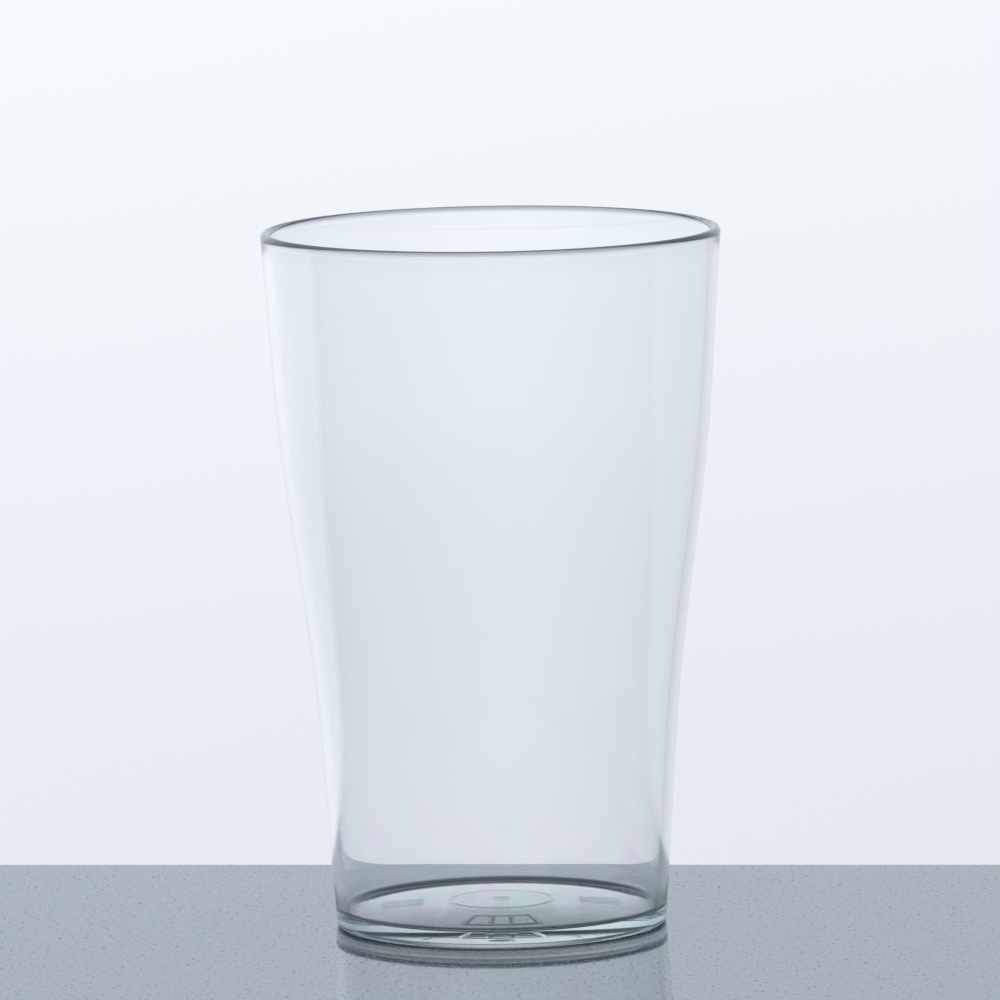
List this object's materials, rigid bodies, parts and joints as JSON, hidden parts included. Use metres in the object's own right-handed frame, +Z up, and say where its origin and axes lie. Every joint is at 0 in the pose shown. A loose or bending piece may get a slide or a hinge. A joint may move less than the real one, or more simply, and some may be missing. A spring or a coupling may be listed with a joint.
{
  "type": "pint tumbler",
  "caption": "Clear hard-plastic tumbler with a softly flared wall, a rounded rim and a thick crowned floor on a narrow foot ring, for holding a drink.",
  "frame": {"origin": "centre of the foot ring, on the surface that the tumbler stands on", "axes": "+Z up along the tumbler's axis, from the foot to the rim; +X to the right and +Y to the back, with the blank frame moulded under the floor at -Y"},
  "size_m": [0.0902, 0.0902, 0.1375],
  "materials": {
    "clear_plastic": "clear, glossy, injection moulded, with fine handling scratches"
  },
  "bodies": {
    "root": {"tumbler": "clear_plastic"}
  },
  "joints": []
}
